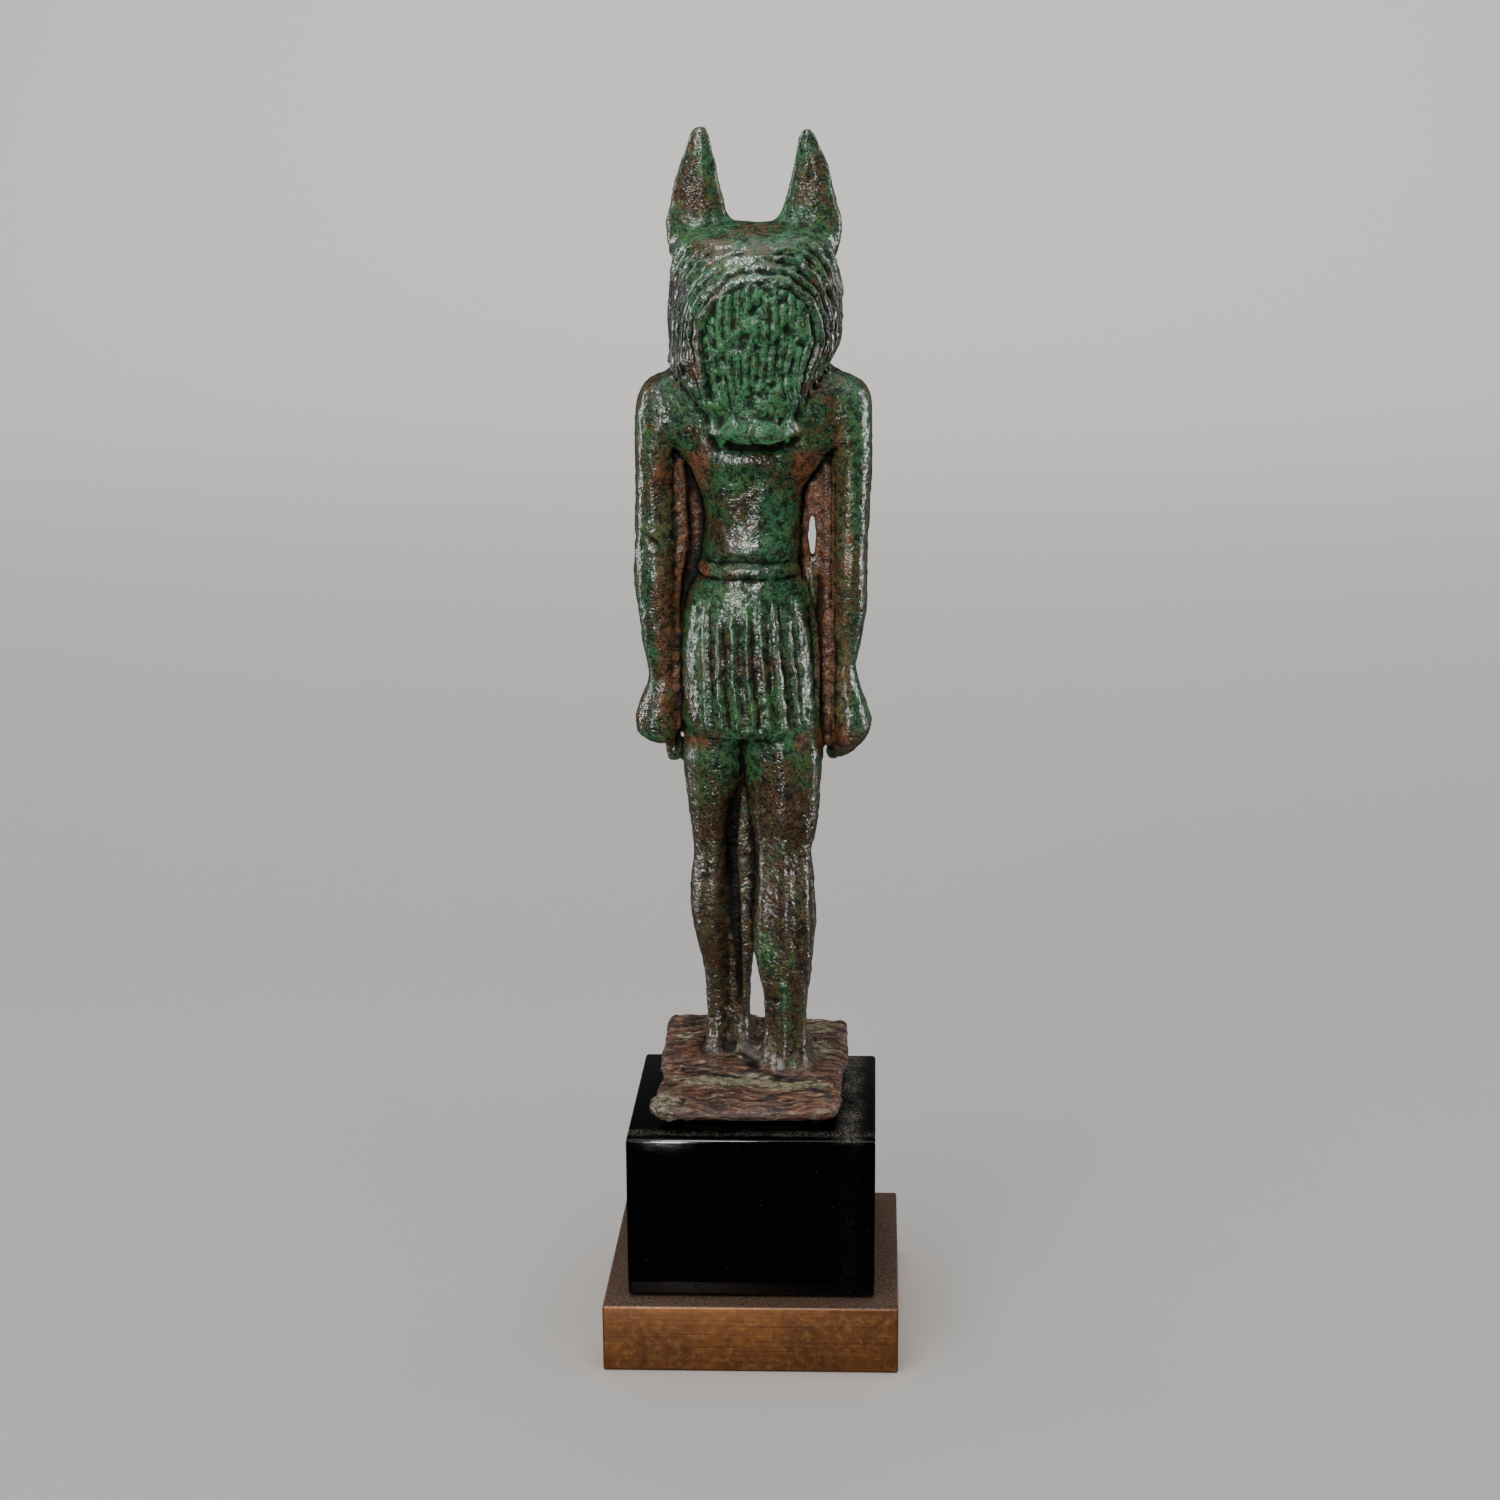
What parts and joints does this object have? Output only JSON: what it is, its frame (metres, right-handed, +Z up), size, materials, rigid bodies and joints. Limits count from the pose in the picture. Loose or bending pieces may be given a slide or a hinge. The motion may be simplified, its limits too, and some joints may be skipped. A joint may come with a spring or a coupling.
{
  "type": "striding anubis figure",
  "caption": "Striding jackal-headed figure in patinated bronze with wig and pleated kilt, on its own thin plate, a black lacquered block and a brushed brass slab.",
  "frame": {"origin": "centre of the brass slab's underside", "axes": "+Z up, the figure faces -Y, and its left side is on +X"},
  "size_m": [0.0428, 0.0464, 0.1753],
  "materials": {
    "bronze": "cast bronze with green and red-brown patina",
    "lacquer": "glossy black lacquer",
    "brass": "brushed and tarnished"
  },
  "bodies": {
    "root": {"anubis_figure": "bronze", "lacquered_block": "lacquer", "brass_slab": "brass"}
  },
  "joints": []
}
